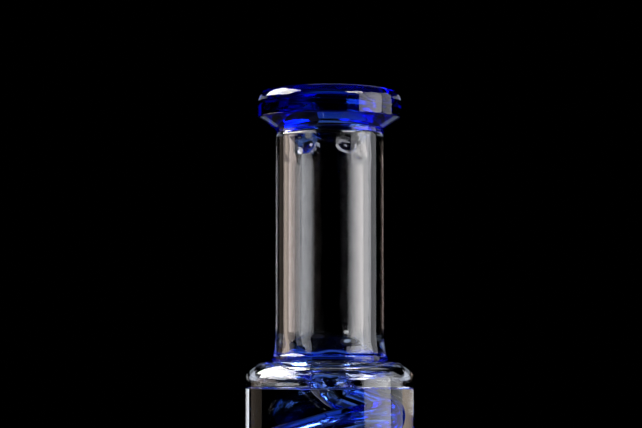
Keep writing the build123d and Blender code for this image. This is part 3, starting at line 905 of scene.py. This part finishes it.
def make_port():
    rim_start = port_mouth - rim_h
    taper = (large_18 - small_18) / (port_mouth - port_low)
    rim_bore = large_18 + gap - taper * rim_h
    low_bore = small_18 + gap
    strokes = [
        (OPEN, soft([(port_bore_r, port_low - 3), (port_bore_r, port_start), (port_r, port_start),
                     (port_r, port_low)], (0.7, 0.7))),
        (JOINED, [(port_r, port_low), (low_bore, port_low)]),
        (OPEN, curve((low_bore, port_low), (low_bore, port_low - 1.2),
                     (port_bore_r, port_low - 1.6), (port_bore_r, port_low - 3), 8)),
    ]
    dense = [(mark, divided(points, lambda length: max(1, round(length / 0.5))))
             for mark, points in strokes]
    slanted("port_tube", dense, clear_glass, "base", in_cone_wall)
    outer = line((port_r, port_low), (port_r, rim_start), 4)
    inner = line((rim_bore, rim_start), (low_bore, port_low), 10)
    slanted("port_socket", wall(outer, inner, GROUND), clear_glass, "base")
    rim = rim_strokes(port_rim_r, rim_bore, large_18 + gap, port_r, rim_start, port_mouth)
    slanted("port_rim", rim, blue_glass, "base")


def make_port_ring():
    """The blue weld bead that follows where the slanted tube meets the cone."""
    bead_r = 1.9
    out_r = port_r + 0.7
    sides = 24
    centres = []
    for k in range(SMALL_STEPS):
        a = 2 * math.pi * k / SMALL_STEPS
        near, far = 35.0, 85.0
        for _ in range(40):
            middle = (near + far) / 2
            point = SLANT @ Vector((out_r * math.cos(a), out_r * math.sin(a), middle))
            if math.hypot(point.x, point.y) < cone_radius(point.z) + 0.4:
                near = middle
            else:
                far = middle
        centres.append(tuple(point))
    centres = np.array(centres)
    along = np.roll(centres, -1, axis=0) - np.roll(centres, 1, axis=0)
    along /= np.linalg.norm(along, axis=1)[:, None]
    out = centres - centres.mean(axis=0)
    out -= along * np.sum(out * along, axis=1)[:, None]
    out /= np.linalg.norm(out, axis=1)[:, None]
    rings = rings_of(centres, out, np.cross(along, out), [bead_r] * SMALL_STEPS, sides)
    points = [tuple(p) for p in rings.reshape(-1, 3)]
    faces = skin_faces(SMALL_STEPS, sides, closed=True)
    build("port_ring", points, faces, [OPEN] * len(faces), blue_glass, "base")


# ---------------------------------------------------------------- the downstem and the bowl


def make_downstem():
    strokes = [
        (OPEN, soft([(stem_r, tip_length), (stem_r, 0), (stem_bore_r, 0),
                     (stem_bore_r, tip_length)], (0.9, 0.7))),
        (JOINED, [(stem_bore_r, tip_length), (stem_r, tip_length)]),
    ]
    tip_piece = slanted("diffuser_tip", strokes, clear_glass, "downstem")
    slot_half, slot_length = 0.6, 10.0
    for k in range(3):
        a = math.pi * k / 3
        width = Vector((math.cos(a), math.sin(a), 0)) * slot_half
        reach = Vector((-math.sin(a), math.cos(a), 0)) * 2 * stem_r
        corners = [SLANT @ (width * x + reach * y + Vector((0, 0, z)))
                   for z in (-4, slot_length) for x, y in ((-1, -1), (1, -1), (1, 1), (-1, 1))]
        quads = [[3, 2, 1, 0], [4, 5, 6, 7], [0, 1, 5, 4], [1, 2, 6, 5], [2, 3, 7, 6], [3, 0, 4, 7]]
        cut(tip_piece, build("slot_cutter", corners, quads, [OPEN] * 6, clear_glass, "downstem"))
    outer = line((stem_r, tip_length), (stem_r, port_low - 3), 20)
    outer += curve((stem_r, port_low - 3), (stem_r, port_low - 1.5),
                   (small_18 - 0.8, port_low - 1.6), (small_18 - 0.3, port_low), 8)
    inner = line((stem_bore_r, port_low), (stem_bore_r, tip_length), 20)
    slanted("downstem_tube", wall(outer, inner), clear_glass, "downstem")
    strokes = [
        (JOINED, [(stem_bore_r, port_low), (small_18, port_low)]),
        (GROUND, line((small_18, port_low), (large_18, port_mouth), 12)),
        (OPEN, [(large_18, port_mouth), (large_18, head_start)]),
        (JOINED, [(large_18, head_start), (stem_bore_r, head_start)]),
        (OPEN, line((stem_bore_r, head_start), (stem_bore_r, port_low), 8)),
    ]
    slanted("downstem_joint", strokes, clear_glass, "downstem")
    bead_r = head_r + 1.0
    mouth_bore = large_14 + gap
    low_bore = small_14 + gap
    outline = curve((large_18, head_start), (large_18 + 0.8, head_start + 0.6),
                    (head_r, head_start + 2.2), (head_r, head_start + 4), 12)
    outline += line((head_r, head_start + 4), (head_r, bowl_mouth - 5), 4)
    outline += curve((head_r, bowl_mouth - 5), (head_r, bowl_mouth - 4),
                     (bead_r, bowl_mouth - 3.4), (bead_r, bowl_mouth - 2), 8)
    outline += arc(head_r - 1, bowl_mouth - 2, 2, 0, 90, steps=12)
    outline += [(mouth_bore + 0.5, bowl_mouth), (mouth_bore, bowl_mouth - 0.5)]
    bore = curve((low_bore, bowl_low), (low_bore, bowl_low - 1.2),
                 (stem_bore_r, bowl_low - 0.6), (stem_bore_r, bowl_low - 2), 8)
    strokes = [
        (JOINED, [(stem_bore_r, head_start), (large_18, head_start)]),
        (OPEN, outline),
        (GROUND, line((mouth_bore, bowl_mouth - 0.5), (low_bore, bowl_low), 10)),
        (OPEN, bore + [(stem_bore_r, head_start)]),
    ]
    slanted("downstem_head", strokes, clear_glass, "downstem")


def make_bowl():
    joint_bore = small_14 - 2.75
    strokes = [
        (OPEN, soft([(joint_bore, bowl_low + 4), (joint_bore, bowl_low), (small_14, bowl_low),
                     (small_14 + 0.05, bowl_low + 1)], (0.6, 0.4))),
        (GROUND, line((small_14 + 0.05, bowl_low + 1), (large_14, bowl_mouth), 10)),
        (OPEN, [(large_14, bowl_mouth), (large_14, bowl_start)]),
        (JOINED, [(large_14, bowl_start), (bowl_bore_r, bowl_start)]),
        (OPEN, [(bowl_bore_r, bowl_start), (bowl_bore_r, bowl_mouth), (joint_bore, bowl_low + 4)]),
    ]
    slanted("bowl_joint", strokes, clear_glass, "bowl")
    side = bowl_start + (bowl_top - bowl_start) * 0.6
    inner = bowl_r - bowl_wall
    lip = bowl_wall / 2
    lip_z = bowl_top - 1.2
    outline = curve((large_14, bowl_start), (large_14 + 3.6, bowl_start + 4), (bowl_r, side - 6),
                    (bowl_r, side), 24)
    outline += line((bowl_r, side), (bowl_r, lip_z), 6)
    outline += arc(bowl_r - lip, lip_z, lip, 0, 180, rz=1.2, steps=14)
    outline += line((inner, lip_z), (inner, side), 6)
    outline += curve((inner, side), (inner, side - 6), (bowl_bore_r + 3.4, bowl_start + 6),
                     (bowl_bore_r, bowl_start + 4), 20)
    outline.append((bowl_bore_r, bowl_start))
    strokes = [(JOINED, [(bowl_bore_r, bowl_start), (large_14, bowl_start)]), (OPEN, outline)]
    slanted("bowl_cup", strokes, clear_glass, "bowl")
    stem_side = Vector((stem_dir.z, 0, -stem_dir.x))
    root = Vector(tip) + stem_dir * (bowl_start + (bowl_top - bowl_start) * 0.7)
    stalk_r, bead_r, bead_at = 2.4, 5.2, bowl_r + 15.0
    start = bowl_r - 0.6
    neck = bead_at - math.sqrt(bead_r**2 - stalk_r**2)
    angle = math.degrees(math.asin(stalk_r / bead_r))
    outline = curve((stalk_r + 0.9, start), (stalk_r + 0.1, start + 1.2), (stalk_r, start + 2),
                    (stalk_r, start + 4), 10)
    outline += line((stalk_r, start + 4), (stalk_r, neck), 6)
    outline += arc(0, bead_at, bead_r, angle - 90, 90, steps=28)
    strokes = [(JOINED, [(0, start), (stalk_r + 0.9, start)]), (OPEN, outline)]
    turned("bowl_handle", strokes, blue_glass, "bowl", steps=96, place=placed(root, stem_side))


make_lip()
make_neck()
make_foot_ring()
make_jacket()
make_spout()
make_plug()
make_coil()
make_glycerin()
make_lower_chamber()
make_foot()
make_beaker()
make_base_neck()
make_port()
make_port_ring()
make_downstem()
make_bowl()

# ---------------------------------------------------------------- camera, light and floor

camera_distance = 0.93
camera_height = 0.2913
camera_aside = -0.0031
camera_pitch = math.radians(3.47)
lens = 146.0

camera = bpy.data.objects.new("camera", bpy.data.cameras.new("camera"))
camera.data.lens = lens
camera.data.sensor_width = 36
camera.data.clip_start = 0.01
camera.location = (camera_aside, -camera_distance, camera_height)
camera.rotation_euler = (math.radians(90) + camera_pitch, 0, 0)
bpy.context.scene.collection.objects.link(camera)
bpy.context.scene.camera = camera

light_distance = 1.4


def area_light(name, place, facing, size, colour, radiance, spread=180):
    """A rectangular soft box that the camera doesn't see, as bright as given straight ahead."""
    half_spread = math.radians(spread / 2)
    peak = 1.0 if spread == 180 else math.tan(half_spread) / (math.tan(half_spread) - half_spread)
    light = bpy.data.lights.new(name, "AREA")
    light.shape = "RECTANGLE"
    light.size, light.size_y = size
    light.color = colour
    light.spread = 2 * half_spread
    light.energy = radiance / peak * 4 * size[0] * size[1]
    lamp = bpy.data.objects.new(name, light)
    lamp.location = place
    lamp.rotation_euler = facing.to_track_quat("-Z", "Y").to_euler()
    lamp.visible_camera = False
    bpy.context.scene.collection.objects.link(lamp)


def softbox(name, first, last, low, high, colour, radiance, spread=180, faces=None):
    """An upright soft box between two bearings, in degrees right of the camera's side.

    It faces the object from the bearing given, or else from its middle.
    """
    faces = math.radians((first + last) / 2 if faces is None else faces)
    away = Vector((math.sin(faces), -math.cos(faces), 0))
    across = Vector((math.cos(faces), math.sin(faces), 0))
    reach = [light_distance * math.tan(math.radians(a) - faces) for a in (first, last)]
    middle = away * light_distance + across * (sum(reach) / 2) + Vector((0, 0, (low + high) / 2))
    size = (abs(reach[1] - reach[0]), high - low)
    area_light(name, middle, -away, size, colour, radiance, spread)


def high_softbox(name, bearing, elevation, distance, size, colour, radiance):
    """A soft box that faces the chamber's shoulder from a bearing and an elevation."""
    a, e = math.radians(bearing), math.radians(elevation)
    away = Vector((math.sin(a) * math.cos(e), -math.cos(a) * math.cos(e), math.sin(e)))
    place = Vector((0, 0, shoulder_z * MM)) + away * distance
    area_light(name, place, -away, size, colour, radiance)


softbox("soft_right", 47, 91, -0.1, 1.3, (1.0, 1.0, 1.03), 4.2, 110, 85)
softbox("soft_right_back", 92, 117, -0.1, 1.2, (0.97, 0.99, 1.05), 1.2)
softbox("soft_left", -79, -117, 0.288, 0.515, (1.0, 0.84, 0.78), 1.7)
softbox("warm_left_back", -105, -135, -0.05, 0.515, (1.0, 0.82, 0.66), 0.22)
high_softbox("soft_high_left", -100, 40, light_distance, (1.5, 0.85), (1.0, 0.98, 0.96), 12.0)
high_softbox("soft_high_back", 170, 42, light_distance, (0.6, 0.4), (0.95, 0.98, 1.05), 0.2)
high_softbox("soft_low_back", 180, -15, 0.8, (0.8, 0.16), (0.6, 0.75, 1.05), 0.3)
high_softbox("high_right", 44, 33, light_distance, (0.6, 0.4), (1.0, 1.0, 1.0), 8.0)
for name, bearing in (("rim_left", -142), ("rim_right", 142)):
    high_softbox(name, bearing, 15, light_distance, (1.0, 0.22), (0.85, 0.92, 1.08), 0.5)

world = bpy.data.worlds.new("world")
bpy.context.scene.world = world
world.use_nodes = True
world.node_tree.nodes["Background"].inputs["Color"].default_value = (0, 0, 0, 1)

floor_r, floor_drop = 2.3, -0.0002
floor_mesh = bpy.data.meshes.new("floor")
edge = [(*point, floor_drop) for point in arc(0, 0, floor_r, 0, 360, steps=96)[:-1]]
floor_mesh.from_pydata(edge, [], [list(range(96))])
floor = bpy.data.objects.new("floor", floor_mesh)
floor_material, tree, output, place = node_tree("pale_floor")
diffuse = tree.nodes.new("ShaderNodeBsdfPrincipled")
diffuse.inputs["Roughness"].default_value = 0.8
grain = noise(tree, place, 300, 3)
tree.links.new(mix_colour(tree, grain, (0.54, 0.54, 0.55), (0.62, 0.62, 0.62)),
               diffuse.inputs["Base Color"])
tree.links.new(diffuse.outputs[0], output.inputs["Surface"])
floor_mesh.materials.append(floor_material)
bpy.context.scene.collection.objects.link(floor)

# Most soft boxes are gridded off the floor, so that it stays dim under the glass.
dim = bpy.data.collections.new("gridded_off")
dim.objects.link(floor)
dim.collection_objects[0].light_linking.link_state = "EXCLUDE"
for name in ("soft_right", "soft_high_left", "soft_high_back", "soft_low_back", "high_right",
             "rim_left", "rim_right"):
    bpy.data.objects[name].light_linking.receiver_collection = dim

bpy.context.scene.view_settings.view_transform = "Standard"
cycles = bpy.context.scene.cycles
cycles.max_bounces = 32
cycles.transmission_bounces = 32
cycles.transparent_max_bounces = 48
cycles.glossy_bounces = 16
